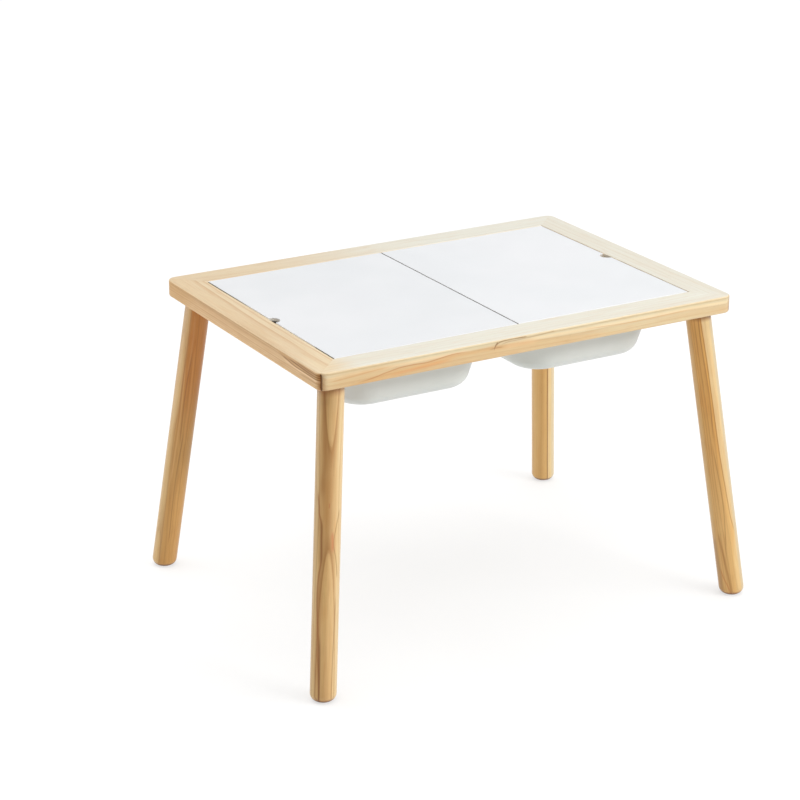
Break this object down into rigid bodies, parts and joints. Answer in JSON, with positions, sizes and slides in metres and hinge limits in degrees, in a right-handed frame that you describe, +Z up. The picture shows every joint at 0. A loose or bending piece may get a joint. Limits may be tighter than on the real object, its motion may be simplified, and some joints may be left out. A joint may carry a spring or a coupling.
{
  "type": "sensory table",
  "caption": "Low sensory play table: mitred pine frame on splayed round legs, lift-off white boards with finger notches, and white lift-out bins hanging in the frame for sand or water.",
  "frame": {"origin": "on the floor, under the middle of the table", "axes": "+X to the right along the long side, +Y from the front to the back, +Z up"},
  "size_m": [0.7916, 0.599, 0.503],
  "materials": {
    "pine_frame": "clear satin lacquer on pale pine",
    "pine_legs": "clear satin lacquer on warm pine",
    "spline_wood": "raw compressed beech",
    "zinc_steel": "bright zinc plating",
    "white_board": "fibreboard faced in white satin melamine",
    "white_plastic": "moulded white polypropylene, semi-gloss"
  },
  "bodies": {
    "table_frame": {"front_rail": "pine_frame", "rear_rail": "pine_frame", "left_rail": "pine_frame", "right_rail": "pine_frame", "centre_bar": "pine_frame", "leg_front_left": "pine_legs", "leg_front_right": "pine_legs", "leg_rear_left": "pine_legs", "leg_rear_right": "pine_legs", "mitre_splines": "spline_wood", "leg_plate_front_left": "zinc_steel", "leg_plate_front_right": "zinc_steel", "leg_plate_rear_left": "zinc_steel", "leg_plate_rear_right": "zinc_steel", "leg_bolt_front_left": "zinc_steel", "leg_bolt_front_right": "zinc_steel", "leg_bolt_rear_left": "zinc_steel", "leg_bolt_rear_right": "zinc_steel", "plate_screws": "zinc_steel", "centre_bar_screws": "zinc_steel"},
    "large_bin": {"large_bin": "white_plastic"},
    "left_lid": {"left_lid": "white_board"},
    "small_front_bin": {"small_front_bin": "white_plastic"},
    "small_rear_bin": {"small_rear_bin": "white_plastic"},
    "right_lid": {"right_lid": "white_board"}
  },
  "joints": [
    {"name": "large_bin_lift", "type": "slide", "parent": "table_frame", "child": "large_bin", "axis": [0, 0, 1], "range_m": [0, 0.15]},
    {"name": "left_lid_lift", "type": "slide", "parent": "large_bin", "child": "left_lid", "axis": [0, 0, 1], "range_m": [0, 0.15]},
    {"name": "small_front_bin_lift", "type": "slide", "parent": "table_frame", "child": "small_front_bin", "axis": [0, 0, 1], "range_m": [0, 0.15]},
    {"name": "small_rear_bin_lift", "type": "slide", "parent": "small_front_bin", "child": "small_rear_bin", "axis": [0, 0, 1], "range_m": [0, 0.15]},
    {"name": "right_lid_lift", "type": "slide", "parent": "small_rear_bin", "child": "right_lid", "axis": [0, 0, 1], "range_m": [0, 0.15]}
  ]
}
